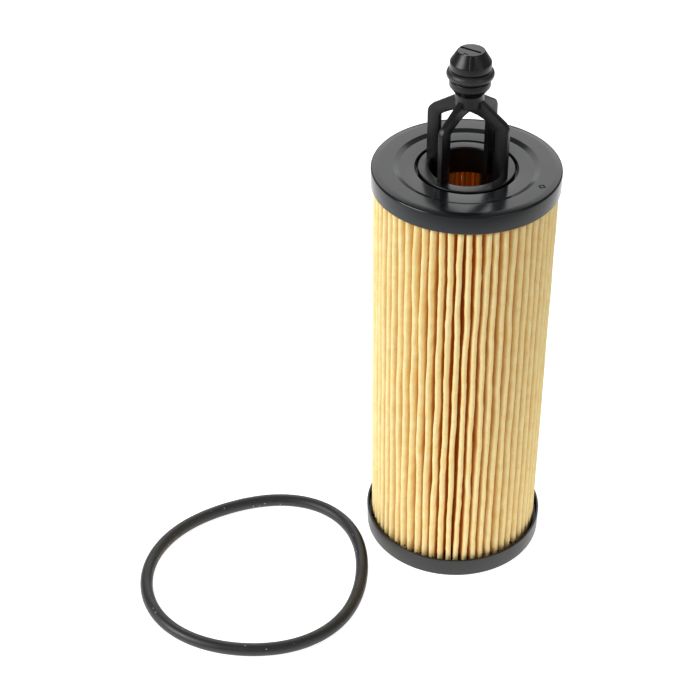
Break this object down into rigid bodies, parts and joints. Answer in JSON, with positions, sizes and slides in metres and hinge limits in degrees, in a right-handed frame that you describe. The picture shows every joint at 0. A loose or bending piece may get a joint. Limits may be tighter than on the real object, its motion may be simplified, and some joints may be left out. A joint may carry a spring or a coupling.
{
  "type": "oil filter element",
  "caption": "Slim cartridge oil filter: pleated paper between two black end caps, a stem cage with a grooved tip and small seal on top, and a loose housing seal ring.",
  "frame": {"origin": "on the filter's axis, in the plane of the lower end cap's underside, which the element stands on", "axes": "+Z along the filter's axis, from the closed lower end cap to the stem tip; the loose ring lies towards -X and -Y; +Y points to the back, where the paper's seam is"},
  "size_m": [0.1131, 0.0807, 0.1505],
  "materials": {
    "black_nylon": "moulded, glossy black",
    "filter_paper": "matt, resin-treated cream paper",
    "hot_melt": "satin amber melt",
    "nitrile_rubber": "satin black"
  },
  "bodies": {
    "element": {"bottom_end_cap": "black_nylon", "centre_core": "black_nylon", "pleated_media": "filter_paper", "seam_bead": "hot_melt", "top_end_cap": "black_nylon", "stem_cage": "black_nylon", "stem_tip_seal": "nitrile_rubber"},
    "cover_seal": {"cover_seal_ring": "nitrile_rubber"}
  },
  "joints": [
    {"name": "cover_seal_lift", "type": "slide", "parent": "element", "child": "cover_seal", "axis": [0, 0, 1], "range_m": [0, 0.1]}
  ]
}
